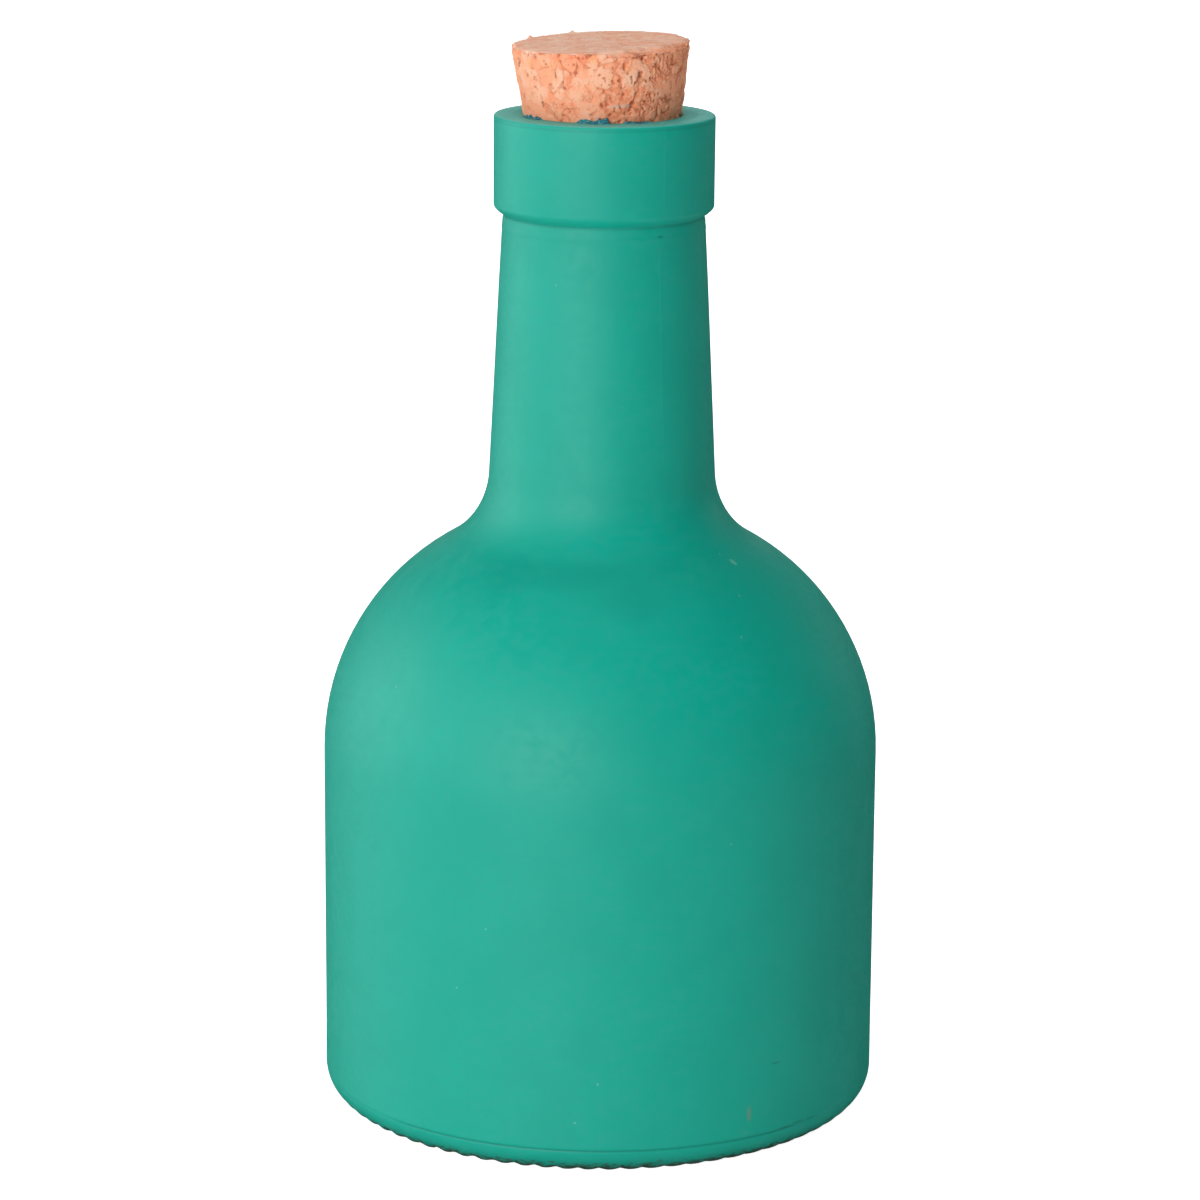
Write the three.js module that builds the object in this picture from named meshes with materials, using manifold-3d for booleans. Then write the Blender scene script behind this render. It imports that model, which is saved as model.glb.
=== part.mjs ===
// Oil cruet: a round glass bottle with an opaque matte coating, and the tapered cork that stops it.
// Millimetres, +Z up. The origin is at the middle of the base, on the surface that the bottle stands on.
// The coating hides the inside, so the bottle is solid below the bore that holds the cork.

import * as THREE from 'three';
import { mergeVertices } from 'three/addons/utils/BufferGeometryUtils.js';
import Module from 'manifold-3d';

const wasm = await Module();
wasm.setup();

const SEGMENTS = 76; // round the bottle, one for each notch of the base

// Base: a shallow push-up inside a flat bearing ring, and slanted notches where the ring meets the heel
const PUSH_UP = 3;
const RING_INNER_RADIUS = 29.2;
const NOTCH_INNER_RADIUS = 33; // where its roof leaves the ground
const NOTCH_LENGTH = 3.6;
const NOTCH_RISE = 13.3; // degrees from the ground
const NOTCH_DEPTH = 0.3;
const NOTCH_WIDTH = 1.8; // at its mouth
const NOTCH_ROOF = [-0.45, 0.15]; // from one side of its flat roof to the other, nearer to one edge
const NOTCH_SLANT = 28; // degrees from the radius

// Body, from the heel to the top of the shoulder
const BODY_RADIUS = 38;
const HEEL_RADIUS = 4.4;
const SHOULDER_HEIGHT = 49.3; // where the straight wall turns into the shoulder
const SHOULDER_RADIUS = 33.4; // of the shoulder's arc, seen from the side
const FILLET_RADIUS = 11.35; // of the hollow arc between the shoulder and the neck

// Neck, which widens a little on its way down
const NECK_TOP_RADIUS = 13.62;
const NECK_SLOPE = 0.05; // radius gained for each millimetre down

// Collar round the mouth
const COLLAR_HEIGHT = 123.2; // of its underside
const COLLAR_RADIUS = 14.85;
const LIP_HEIGHT = 136.35;
const LIP_ROUNDING = 0.35;
const MOUTH_ROUNDING = 1.2;
const MOUTH_RADIUS = 10.95;

// Blind bore that holds the cork
const BORE_FLOOR_HEIGHT = 124.1;
const BORE_FLOOR_RADIUS = 9.6;

// Cork: pressed in a little askew, so that it leans to the left and to the front
const CORK_ABOVE_LIP = 9.6;
const CORK_IN_BORE = 11.5;
const CORK_TOP_RADIUS = 12.05;
const CORK_BOTTOM_RADIUS = 9.0;
const CORK_SHIFT = -0.2; // of its axis at the lip, along X
const CORK_LEAN_LEFT = 2.4; // degrees
const CORK_LEAN_FRONT = 1.2; // degrees
const CORK_SEGMENTS = 48;
const CORK_SIDE_RINGS = 13;
const CORK_TOP_RINGS = [0.93, 0.55]; // their radii, as shares of the top's radius
const CORK_GRANULE = 1.9; // usual size of a granule
const CORK_RELIEF = 0.32; // deepest hollow between granules on the side
const CORK_TOP_RELIEF = 0.08; // the top was cut flat
const CORK_EDGE_WEAR = 0.75; // most that the top edge has crumbled, on its right side
const CORK_LEAST_WEAR = 0.03; // on the rest of the top edge
const NOISE_SEED = 5.3;

const coatingMaterial = new THREE.MeshStandardMaterial({ color: 0x2fa68d, roughness: 0.6, metalness: 0 });
const corkMaterial = new THREE.MeshStandardMaterial({ color: 0xe4a27c, roughness: 0.95, metalness: 0 });

const { degToRad, radToDeg, lerp, smoothstep } = THREE.MathUtils;

// Points along an arc of a profile, where x is the distance from the axis and y is the height.
function arc(centre, radius, startDegrees, endDegrees, steps) {
  const points = [];
  for (let i = 0; i <= steps; i++) {
    const angle = degToRad(startDegrees + ((endDegrees - startDegrees) * i) / steps);
    points.push(new THREE.Vector2(Math.cos(angle), Math.sin(angle)).multiplyScalar(radius).add(centre));
  }
  return points;
}

// A solid of revolution about Z, from a profile that starts and ends on the axis.
function turned(profile, segments) {
  return new THREE.LatheGeometry(profile, segments).rotateX(Math.PI / 2);
}

// The push-up's arc, which rises from the bearing ring to the middle of the base.
function pushUpArc() {
  const radius = (RING_INNER_RADIUS ** 2 + PUSH_UP ** 2) / (2 * PUSH_UP);
  const halfAngle = radToDeg(Math.asin(RING_INNER_RADIUS / radius));
  const centre = new THREE.Vector2(0, PUSH_UP - radius);
  return arc(centre, radius, 90, 90 - halfAngle, 4);
}

// The shoulder's arc and the hollow arc above it. The hollow arc touches the shoulder and the neck, so
// its centre is at a known distance from the shoulder's centre and from the neck's slanted line.
function shoulderAndFillet() {
  const shoulderCentre = new THREE.Vector2(BODY_RADIUS - SHOULDER_RADIUS, SHOULDER_HEIGHT);
  const slant = Math.hypot(1, NECK_SLOPE);
  const neckAtShoulder = NECK_TOP_RADIUS + NECK_SLOPE * (COLLAR_HEIGHT - SHOULDER_HEIGHT);
  const across = neckAtShoulder + FILLET_RADIUS * slant - shoulderCentre.x;
  const apart = SHOULDER_RADIUS + FILLET_RADIUS;
  const rise = (across * NECK_SLOPE + Math.sqrt((slant * apart) ** 2 - across ** 2)) / slant ** 2;
  const toFillet = new THREE.Vector2(across - NECK_SLOPE * rise, rise);
  const touching = radToDeg(toFillet.angle());
  const filletCentre = shoulderCentre.clone().add(toFillet);
  const alongNeck = 180 + radToDeg(Math.atan(NECK_SLOPE));
  return [
    ...arc(shoulderCentre, SHOULDER_RADIUS, 0, touching, 12),
    ...arc(filletCentre, FILLET_RADIUS, touching + 180, alongNeck, 6).slice(1),
  ];
}

function bottleProfile() {
  const heelCentre = new THREE.Vector2(BODY_RADIUS - HEEL_RADIUS, HEEL_RADIUS);
  const underRounding = COLLAR_RADIUS - NECK_TOP_RADIUS;
  const underCentre = new THREE.Vector2(NECK_TOP_RADIUS, COLLAR_HEIGHT + underRounding);
  const lipCentre = new THREE.Vector2(COLLAR_RADIUS - LIP_ROUNDING, LIP_HEIGHT - LIP_ROUNDING);
  const mouthCentre = new THREE.Vector2(MOUTH_RADIUS + MOUTH_ROUNDING, LIP_HEIGHT - MOUTH_ROUNDING);
  return [
    ...pushUpArc(),
    ...arc(heelCentre, HEEL_RADIUS, -90, 0, 7),
    ...shoulderAndFillet(),
    ...arc(underCentre, underRounding, -90, 0, 4),
    ...arc(lipCentre, LIP_ROUNDING, 0, 90, 2),
    ...arc(mouthCentre, MOUTH_ROUNDING, 90, 180, 3),
    new THREE.Vector2(BORE_FLOOR_RADIUS, BORE_FLOOR_HEIGHT),
    new THREE.Vector2(0, BORE_FLOOR_HEIGHT),
  ];
}

// The space of one notch: slanted, steeper on one side, with a roof that rises outwards and runs out
// on the heel.
function notch(turn) {
  const below = NOTCH_DEPTH * 4;
  const section = new THREE.Shape([
    new THREE.Vector2(-NOTCH_WIDTH / 2, -below),
    new THREE.Vector2(NOTCH_WIDTH / 2, -below),
    new THREE.Vector2(NOTCH_WIDTH / 2, -NOTCH_DEPTH),
    new THREE.Vector2(NOTCH_ROOF[1], 0),
    new THREE.Vector2(NOTCH_ROOF[0], 0),
    new THREE.Vector2(-NOTCH_WIDTH / 2, -NOTCH_DEPTH),
  ]);
  const rise = degToRad(NOTCH_RISE);
  const geometry = new THREE.ExtrudeGeometry(section, { depth: NOTCH_LENGTH, bevelEnabled: false });
  geometry.translate(0, 0, -NOTCH_LENGTH / 2).rotateX(Math.PI / 2 - rise).rotateZ(degToRad(NOTCH_SLANT));
  const halfRun = (NOTCH_LENGTH / 2) * Math.cos(rise);
  geometry.translate(0, -NOTCH_INNER_RADIUS - halfRun, halfRun * Math.tan(rise));
  return geometry.rotateZ(turn);
}

// A closed geometry as a solid that can be cut.
function toSolid(geometry) {
  const bare = geometry.clone();
  bare.deleteAttribute('normal');
  bare.deleteAttribute('uv');
  const merged = mergeVertices(bare, 1e-4);
  const vertProperties = new Float32Array(merged.attributes.position.array);
  const triVerts = new Uint32Array(merged.index.array);
  const mesh = new wasm.Mesh({ numProp: 3, vertProperties, triVerts });
  mesh.merge();
  return new wasm.Manifold(mesh);
}

function toGeometry(solid) {
  const { vertProperties, triVerts } = solid.getMesh();
  const geometry = new THREE.BufferGeometry();
  geometry.setAttribute('position', new THREE.BufferAttribute(vertProperties, 3));
  geometry.setIndex(new THREE.BufferAttribute(triVerts, 1));
  geometry.computeVertexNormals();
  return geometry;
}

function makeBottle() {
  let solid = toSolid(turned(bottleProfile(), SEGMENTS));
  for (let i = 0; i < SEGMENTS; i++) {
    solid = solid.subtract(toSolid(notch((2 * Math.PI * i) / SEGMENTS)));
  }
  const bottle = new THREE.Mesh(toGeometry(solid), coatingMaterial);
  bottle.name = 'bottle';
  return bottle;
}

// A repeatable number from 0 to 1 for each point of a lattice.
function latticeValue(x, y, z) {
  const wave = Math.sin(x * 127.1 + y * 311.7 + z * 74.7 + NOISE_SEED) * 43758.5453;
  return wave - Math.floor(wave);
}

// Smooth noise from 0 to 1, blended from the eight lattice points round a place.
function noise(place) {
  const cell = place.clone().floor();
  const inside = place.clone().sub(cell);
  let sum = 0;
  for (let corner = 0; corner < 8; corner++) {
    const offset = new THREE.Vector3(corner & 1, (corner >> 1) & 1, corner >> 2);
    const weight = ['x', 'y', 'z'].reduce((product, axis) => {
      const blend = smoothstep(inside[axis], 0, 1);
      return product * (offset[axis] ? blend : 1 - blend);
    }, 1);
    const point = cell.clone().add(offset);
    sum += weight * latticeValue(point.x, point.y, point.z);
  }
  return sum;
}

// The cork's plain cone about its own axis, with z = 0 at the lip.
function corkProfile() {
  const profile = [new THREE.Vector2(0, -CORK_IN_BORE)];
  for (let i = 0; i <= CORK_SIDE_RINGS; i++) {
    const along = i / CORK_SIDE_RINGS;
    const radius = lerp(CORK_BOTTOM_RADIUS, CORK_TOP_RADIUS, along);
    profile.push(new THREE.Vector2(radius, lerp(-CORK_IN_BORE, CORK_ABOVE_LIP, along)));
  }
  for (const share of [...CORK_TOP_RINGS, 0]) {
    profile.push(new THREE.Vector2(CORK_TOP_RADIUS * share, CORK_ABOVE_LIP));
  }
  return profile;
}

// Sinks the hollows between granules into the cone, and wears its top edge down unevenly.
function crumble(geometry) {
  const touching = 0.01;
  const position = geometry.attributes.position;
  const point = new THREE.Vector3();
  for (let i = 0; i < position.count; i++) {
    point.fromBufferAttribute(position, i);
    const radius = Math.hypot(point.x, point.y);
    const hollow = noise(point.clone().divideScalar(CORK_GRANULE));
    const onTop = point.z > CORK_ABOVE_LIP - touching;
    const onTopEdge = onTop && radius > CORK_TOP_RADIUS - touching;
    const onSide = radius > CORK_BOTTOM_RADIUS - touching && (onTopEdge || !onTop);
    const onRight = smoothstep(point.x / CORK_TOP_RADIUS, 0.6, 1);
    const wear = onTopEdge ? lerp(CORK_LEAST_WEAR, (CORK_EDGE_WEAR * (1 + hollow)) / 2, onRight) : 0;
    const inwards = wear + (onSide ? CORK_RELIEF * hollow : 0);
    const down = wear + (onTop ? CORK_TOP_RELIEF * hollow : 0);
    const scale = radius > touching ? 1 - inwards / radius : 1;
    position.setXYZ(i, point.x * scale, point.y * scale, point.z - down);
  }
  return geometry;
}

function makeCork() {
  const cork = new THREE.Mesh(crumble(turned(corkProfile(), CORK_SEGMENTS)), corkMaterial);
  cork.name = 'cork';
  cork.position.set(CORK_SHIFT, 0, LIP_HEIGHT);
  cork.rotation.set(degToRad(CORK_LEAN_FRONT), -degToRad(CORK_LEAN_LEFT), 0);
  return cork;
}

const cruet = new THREE.Group();
cruet.add(makeBottle(), makeCork());

export default cruet;
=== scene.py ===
"""Oil cruet: a round glass bottle under an opaque matte coating, and the tapered cork that stops it.

The finished bottle and cork stand for the plain solids of the same names. Sizes are in millimetres,
and MM turns them into Blender's metres. The bottle stands at the origin, +Z up, and the side that the
photograph shows faces -Y. An azimuth is counted from that side towards +X, and all noise is seeded.
"""

import math

import bpy
import numpy as np
from mathutils import Matrix, Vector


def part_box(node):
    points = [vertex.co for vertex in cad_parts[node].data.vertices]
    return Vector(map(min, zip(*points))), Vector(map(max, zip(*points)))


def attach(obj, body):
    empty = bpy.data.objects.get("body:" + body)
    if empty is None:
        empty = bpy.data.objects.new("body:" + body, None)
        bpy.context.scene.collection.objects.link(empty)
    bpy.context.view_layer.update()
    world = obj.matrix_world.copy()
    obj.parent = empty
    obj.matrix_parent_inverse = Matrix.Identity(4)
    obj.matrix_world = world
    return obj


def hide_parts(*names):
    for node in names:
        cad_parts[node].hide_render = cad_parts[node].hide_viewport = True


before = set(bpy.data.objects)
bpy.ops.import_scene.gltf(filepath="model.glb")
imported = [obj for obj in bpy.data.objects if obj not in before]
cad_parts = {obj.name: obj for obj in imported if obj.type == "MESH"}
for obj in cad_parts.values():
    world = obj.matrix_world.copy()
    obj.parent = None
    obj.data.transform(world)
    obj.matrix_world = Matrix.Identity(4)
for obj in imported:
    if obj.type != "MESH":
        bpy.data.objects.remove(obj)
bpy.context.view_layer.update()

MM = 0.001
bottle_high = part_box("bottle")[1]

# Bottle, as in the solid that it replaces
BODY_RADIUS = bottle_high.x / MM
LIP_HEIGHT = bottle_high.z / MM
PUSH_UP = 3
RING_INNER_RADIUS = 29.2
HEEL_RADIUS = 4.4
SHOULDER_HEIGHT = 49.3
SHOULDER_RADIUS = 33.4
FILLET_RADIUS = 11.35
NECK_TOP_RADIUS = 13.62
NECK_SLOPE = 0.05
COLLAR_HEIGHT = 123.2
COLLAR_RADIUS = 14.85
LIP_ROUNDING = 0.35
MOUTH_ROUNDING = 1.2
MOUTH_RADIUS = 10.95
BORE_FLOOR_HEIGHT = 124.1
BORE_FLOOR_RADIUS = 9.6

# Underside of the collar: a slanted face whose foot is a little lower than in the solid
COLLAR_FOOT_HEIGHT = COLLAR_HEIGHT - 0.33
COLLAR_SLANT_RISE = 1.12
COLLAR_SLANT_FLAT_SHARE = 0.72
COLLAR_SLANT_ROUNDING = 0.35

# Notches under the heel, and the shallow dents that carry them on up the heel
NOTCHES = 76
NOTCH_INNER_RADIUS = 33
NOTCH_LENGTH = 3.6
NOTCH_RISE = math.radians(13.3)
NOTCH_DEPTH = 0.3
NOTCH_WIDTH = 1.8
NOTCH_ROOF = (-0.45, 0.15)  # where the flat part of the roof starts and ends, across the notch
NOTCH_SLANT = math.radians(28)
NOTCH_HALF_RUN = NOTCH_LENGTH / 2 * math.cos(NOTCH_RISE)
NOTCH_MIDDLE_RADIUS = NOTCH_INNER_RADIUS + NOTCH_HALF_RUN
DENT_DEPTH = 0.17
DENT_FULL_HEIGHT = 0.8
DENT_TOP = 2.2
DENT_NOISE_SIZE = 3.5

# Traces of the mould
SEAM_AZIMUTH = math.radians(32.5)  # and once more on the other side
SEAM_HEIGHT = 0.015
SEAM_WIDTH = 0.16
SEAM_BODY_SHARE = 0.3  # of its height, up to where the neck's seam starts
SEAM_NECK_START = 84
SEAM_NECK_FULL = 92
HEEL_LINE_HEIGHT = 3.85
HEEL_LINE_DEPTH = 0.13
HEEL_LINE_WIDTH = 0.16
HEEL_LINE_SPAN = math.radians(50)  # where it shows, to both sides of the front and of the back
HEEL_LINE_FAINT_SHARE = 0.15  # of its depth, elsewhere
PARTING_HEIGHT = 121.3
PARTING_RIDGE = 0.05
PARTING_WIDTH = 0.22
COLLAR_LINE_DEPTH = 0.14
COLLAR_LINE_WIDTH = 0.28
WAVINESS = 0.05
WAVE_SIZE = 14

# Cork, as in the solid that it replaces
CORK_ABOVE_LIP = 9.6
CORK_IN_BORE = 11.5
CORK_TOP_RADIUS = 12.05
CORK_BOTTOM_RADIUS = 9.0
CORK_SHIFT = -0.2
CORK_LEAN_LEFT = math.radians(2.4)
CORK_LEAN_FRONT = math.radians(1.2)

# Grain of the pressed cork
GRANULE = 2.5
GRANULE_STEP = 0.07  # how far granules stand over each other
GRANULE_TILT = 0.07
CRACK_DEPTH = 0.14
CRUMB = 0.62
CRUMB_STRETCH = (1, 1, 0.75)  # below 1 makes them longer along that axis, here upwards
CRUMB_STEP = 0.1
CRUMB_TILT = 0.09
CRUMB_GAP_DEPTH = 0.08
PIT = 0.27
PIT_STRETCH = (1, 1, 0.6)
PIT_DEPTH = 0.26

# Wear of the cork's top edge, and its sawn top
EDGE_ROUNDING = 0.1
EDGE_CRUMBLE = 0.55
EDGE_WIDTH = 0.9
CORNER_CRUMBLE = 0.25  # more, where the edge has broken away on the right
CORNER_WIDTH = 1.6
CHIP_DEPTH = 0.6  # where the edge is worn down at the front right
CHIP_WIDTH = 2.2
TOP_RELIEF = 0.13
TOP_RISE = 0.1
SAW_MARK_STRETCH = (0.16, 1.9, 1)
TOP_PATCH_STRETCH = (0.5, 1, 1)
LOOSE_CRUMBS = [(-125, 0.42), (-161, 0.25)]  # on the edge: azimuth in degrees, and height
LOOSE_CRUMB_INSET = 0.3
LOOSE_CRUMB_WIDTH = 0.42

# Torn coating in the mouth: the middle and the half width of each torn stretch in degrees, and how far
# it stands up. Each point of its section is a radius, a height over the lip, how far it is bunched up
# where the coating is torn, and how ragged it is there.
TEARS = [
    (-60, 12, 0.75), (-8, 13, 1.0), (23, 11, 0.5),
    (150, 14, 0.8), (186, 10, 0.6), (218, 18, 1.0),
]
TEAR_SECTION = [
    (12.8, -0.02, 0, 0),
    (12.25, 0.01, 0, 0),
    (11.6, 0.015, 0.05, 0.4),
    (11.1, 0.015, 0.25, 0.8),
    (10.85, 0.015, 0.5, 1),
    (10.6, 0.015, 0.5, 1),
    (10.35, -0.03, 0.03, 0.7),
    (10.35, -0.6, 0, 0),
    (10.9, -1.4, 0, 0),
    (11.2, -0.9, 0, 0),
    (11.6, -0.45, 0, 0),
]
TEAR_CREST = 0.88
TEAR_ROUGHNESS = 0.34

# Fineness of the meshes
BOTTLE_SEGMENTS = 10 * NOTCHES
CORK_SEGMENTS = 560
CORK_SIDE_ROWS = 112
CORK_TOP_ROWS = 48
CORK_SEEN_FROM = -0.9  # the side has few rows below this height over the lip
TEAR_SEGMENTS = 640

# Camera: fitted to the bottle's outline in the photograph
CAMERA_PLACE = (-0.163, -589.5, 208.9)
CAMERA_PITCH = math.radians(13.287)
CAMERA_ROLL = math.radians(0.407)
CAMERA_LENS = 132.76
CAMERA_NEAREST = 10
SENSOR_WIDTH = 36

# Surroundings: the light that they give, and how much is added where the camera sees them
AMBIENT = 0.1
FLOOR_LIGHT = 0.14
WHITER_SURROUND = 0.88
WHITER_FLOOR = 0.8
FLOOR_SIZE = 8000
LAMP_DISTANCE = 1.3  # in metres


def smooth(value, start, end):
    """Goes smoothly from 0 at start to 1 at end."""
    share = np.clip((value - start) / (end - start), 0, 1)
    return share * share * (3 - 2 * share)


def ridge(offset, width):
    """A rounded ridge of height 1 along offset 0."""
    return np.exp(-((offset / width) ** 2))


def lattice_value(cells, seed):
    """A repeatable number from 0 to 1 for each lattice point."""
    x, y, z = (cells[..., axis].astype(np.int64) for axis in range(3))
    mixed = (x * 374761393 + y * 668265263 + z * 1274126177 + seed * 974634777) & 0xFFFFFFFF
    mixed = ((mixed ^ (mixed >> 13)) * 1103515245) & 0xFFFFFFFF
    mixed = ((mixed ^ (mixed >> 16)) * 69069) & 0xFFFFFFFF
    return (mixed ^ (mixed >> 15)) / 0xFFFFFFFF


def noise(points, size, seed):
    """Smooth noise from 0 to 1, blended from the eight lattice points round each point."""
    places = points / size
    cells = np.floor(places)
    inside = places - cells
    blend = inside * inside * (3 - 2 * inside)
    total = np.zeros(len(points))
    for corner in np.ndindex(2, 2, 2):
        weight = np.prod(np.where(corner, blend, 1 - blend), axis=-1)
        total += weight * lattice_value(cells + corner, seed)
    return total


def scatter(points, size, seeds):
    """A smooth random shift for each point, from -0.5 to 0.5 along each axis."""
    return np.column_stack([noise(points, size, seed) - 0.5 for seed in seeds])


def granules(points, size, seed):
    """How far each point is from its granule's border, the granule's tone, and its slanted face there.

    The distance is in granule sizes, the tone goes from 0 to 1, and the face's height from about -1 to 1.
    """
    places = points / size
    cells = np.floor(places)
    nearest = np.full(len(points), np.inf)
    following = np.full(len(points), np.inf)
    tone = np.zeros(len(points))
    face = np.zeros(len(points))
    for step in np.ndindex(3, 3, 3):
        cell = cells + np.array(step) - 1
        jitter = np.stack([lattice_value(cell, seed + axis) for axis in range(3)], axis=-1)
        offset = cell + jitter - places
        away = np.linalg.norm(offset, axis=-1)
        closer = away < nearest
        following = np.where(closer, nearest, np.minimum(following, away))
        tone = np.where(closer, lattice_value(cell, seed + 3), tone)
        slant = np.stack([lattice_value(cell, seed + 4 + axis) for axis in range(3)], axis=-1) * 2 - 1
        face = np.where(closer, np.sum(offset * slant, axis=-1), face)
        nearest = np.minimum(nearest, away)
    return following - nearest, tone, face


def arc(centre, radius, start, end, steps):
    """Points along an arc of a profile, as radius and height. The angles are in degrees."""
    angles = np.radians(np.linspace(start, end, steps + 1))
    return np.column_stack([centre[0] + radius * np.cos(angles), centre[1] + radius * np.sin(angles)])


def line(start, end, steps):
    """Points along a straight stretch of a profile, without its ends."""
    share = np.linspace(0, 1, steps + 1)[1:-1, None]
    return np.array(start) * (1 - share) + np.array(end) * share


def cut_corner(before, corner, after, steps):
    """Points along a smooth curve from before to after, which rounds off the corner between them."""
    share = np.linspace(0, 1, steps + 1)[:, None]
    rest = 1 - share
    return rest**2 * np.array(before) + 2 * rest * share * np.array(corner) + share**2 * np.array(after)


def mesh_object(name, vertices, faces, attributes=None):
    """A smooth-shaded mesh from vertices in millimetres."""
    mesh = bpy.data.meshes.new(name)
    mesh.from_pydata((vertices * MM).tolist(), [], faces)
    mesh.polygons.foreach_set("use_smooth", np.ones(len(mesh.polygons), bool))
    for label, values in (attributes or {}).items():
        layer = mesh.attributes.new(label, "FLOAT", "POINT")
        layer.data.foreach_set("value", values.astype(np.float32))
    mesh.update()
    made = bpy.data.objects.new(name, mesh)
    bpy.context.scene.collection.objects.link(made)
    return made


def revolved(profile, segments):
    """The azimuth, radius and height of each vertex, row by row, for a profile turned round the axis."""
    azimuth = np.tile(np.arange(segments) * 2 * math.pi / segments, len(profile))
    radius = np.repeat(profile[:, 0], segments)
    height = np.repeat(profile[:, 1], segments)
    return azimuth, radius, height


def placed(azimuth, radius, height):
    """The vertices as x, y and z."""
    return np.column_stack([radius * np.sin(azimuth), -radius * np.cos(azimuth), height])


def band_faces(rows, segments, closed=False):
    """Quads between neighbouring rows, and between the last and the first where the section is closed."""
    faces = []
    for row in range(rows if closed else rows - 1):
        below = row * segments
        above = (row + 1) % rows * segments
        for column in range(segments):
            following = (column + 1) % segments
            faces.append((below + column, below + following, above + following, above + column))
    return faces


def capped(name, vertices, rows, segments, first_pole, last_pole, attributes=None):
    """A closed mesh from rows round the axis and one vertex at each end."""
    faces = band_faces(rows, segments)
    first = rows * segments
    last = first + 1
    top_row = (rows - 1) * segments
    for column in range(segments):
        following = (column + 1) % segments
        faces.append((first, following, column))
        faces.append((last, top_row + column, top_row + following))
    all_vertices = np.vstack([vertices, [first_pole, last_pole]])
    return mesh_object(name, all_vertices, faces, attributes)


# Bottle

def push_up_arc(steps):
    """The hollow under the base, from near its middle to the bearing ring."""
    radius = (RING_INNER_RADIUS**2 + PUSH_UP**2) / (2 * PUSH_UP)
    half_angle = math.degrees(math.asin(RING_INNER_RADIUS / radius))
    return arc((0, PUSH_UP - radius), radius, 90, 90 - half_angle, steps)[1:]


def shoulder_and_fillet(shoulder_steps, fillet_steps):
    """The shoulder's arc, and the hollow arc that touches both it and the neck's slanted line."""
    shoulder_centre = (BODY_RADIUS - SHOULDER_RADIUS, SHOULDER_HEIGHT)
    slant = math.hypot(1, NECK_SLOPE)
    across = neck_radius(SHOULDER_HEIGHT) + FILLET_RADIUS * slant - shoulder_centre[0]
    apart = SHOULDER_RADIUS + FILLET_RADIUS
    rise = (across * NECK_SLOPE + math.sqrt((slant * apart) ** 2 - across**2)) / slant**2
    out = across - NECK_SLOPE * rise
    touching = math.degrees(math.atan2(rise, out))
    fillet_centre = (shoulder_centre[0] + out, shoulder_centre[1] + rise)
    along_neck = 180 + math.degrees(math.atan(NECK_SLOPE))
    shoulder = arc(shoulder_centre, SHOULDER_RADIUS, 0, touching, shoulder_steps)
    fillet = arc(fillet_centre, FILLET_RADIUS, touching + 180, along_neck, fillet_steps)[1:]
    return shoulder, fillet


def collar_underside(foot, wall_radius):
    """The slanted face from the collar's foot up to its wall, without the foot itself."""
    corner = np.array([wall_radius, foot[1] + COLLAR_SLANT_RISE])
    slant_end = foot + COLLAR_SLANT_FLAT_SHARE * (corner - foot)
    wall_start = corner + np.array([0, COLLAR_SLANT_ROUNDING])
    return np.vstack([line(foot, slant_end, 4), cut_corner(slant_end, corner, wall_start, 5)])


def bottle_profile():
    """The bottle's outline from the base to the bore's floor, without the two ends on the axis."""
    heel_centre = (BODY_RADIUS - HEEL_RADIUS, HEEL_RADIUS)
    shoulder, fillet = shoulder_and_fillet(20, 12)
    parting_heights = PARTING_HEIGHT + PARTING_WIDTH * np.arange(-3, 4)
    collar_line_heights = COLLAR_FOOT_HEIGHT - COLLAR_LINE_WIDTH * np.array([2, 1.2, 0.5])
    parting = [(neck_radius(height), height) for height in parting_heights]
    collar_line = [(neck_radius(height), height) for height in collar_line_heights]
    collar_foot = np.array([neck_radius(COLLAR_FOOT_HEIGHT), COLLAR_FOOT_HEIGHT])
    under_collar = collar_underside(collar_foot, COLLAR_RADIUS)
    lip = arc((COLLAR_RADIUS - LIP_ROUNDING, LIP_HEIGHT - LIP_ROUNDING), LIP_ROUNDING, 0, 90, 4)
    mouth_centre = (MOUTH_RADIUS + MOUTH_ROUNDING, LIP_HEIGHT - MOUTH_ROUNDING)
    mouth = arc(mouth_centre, MOUTH_ROUNDING, 90, 180, 6)
    bore_corner = (BORE_FLOOR_RADIUS, BORE_FLOOR_HEIGHT)
    return np.vstack([
        push_up_arc(3),
        line((RING_INNER_RADIUS, 0), (heel_centre[0], 0), 3),
        arc(heel_centre, HEEL_RADIUS, -90, -30, 20),
        arc(heel_centre, HEEL_RADIUS, -30, 0, 20)[1:],
        line((BODY_RADIUS, HEEL_RADIUS), shoulder[0], 8),
        shoulder,
        fillet,
        line(fillet[-1], parting[0], 5),
        parting,
        collar_line,
        [collar_foot],
        under_collar,
        line(under_collar[-1], lip[0], 4),
        lip,
        line(lip[-1], mouth[0], 2),
        mouth,
        line(mouth[-1], bore_corner, 2),
        [bore_corner],
    ])


def neck_radius(height):
    """The radius of the neck's slanted line at that height."""
    return NECK_TOP_RADIUS + NECK_SLOPE * (COLLAR_HEIGHT - height)


def profile_normals(profile):
    """The outward direction at each point of the profile, as radius and height."""
    along = np.gradient(profile, axis=0)
    normals = np.column_stack([along[:, 1], -along[:, 0]])
    return normals / np.linalg.norm(normals, axis=1)[:, None]


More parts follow.
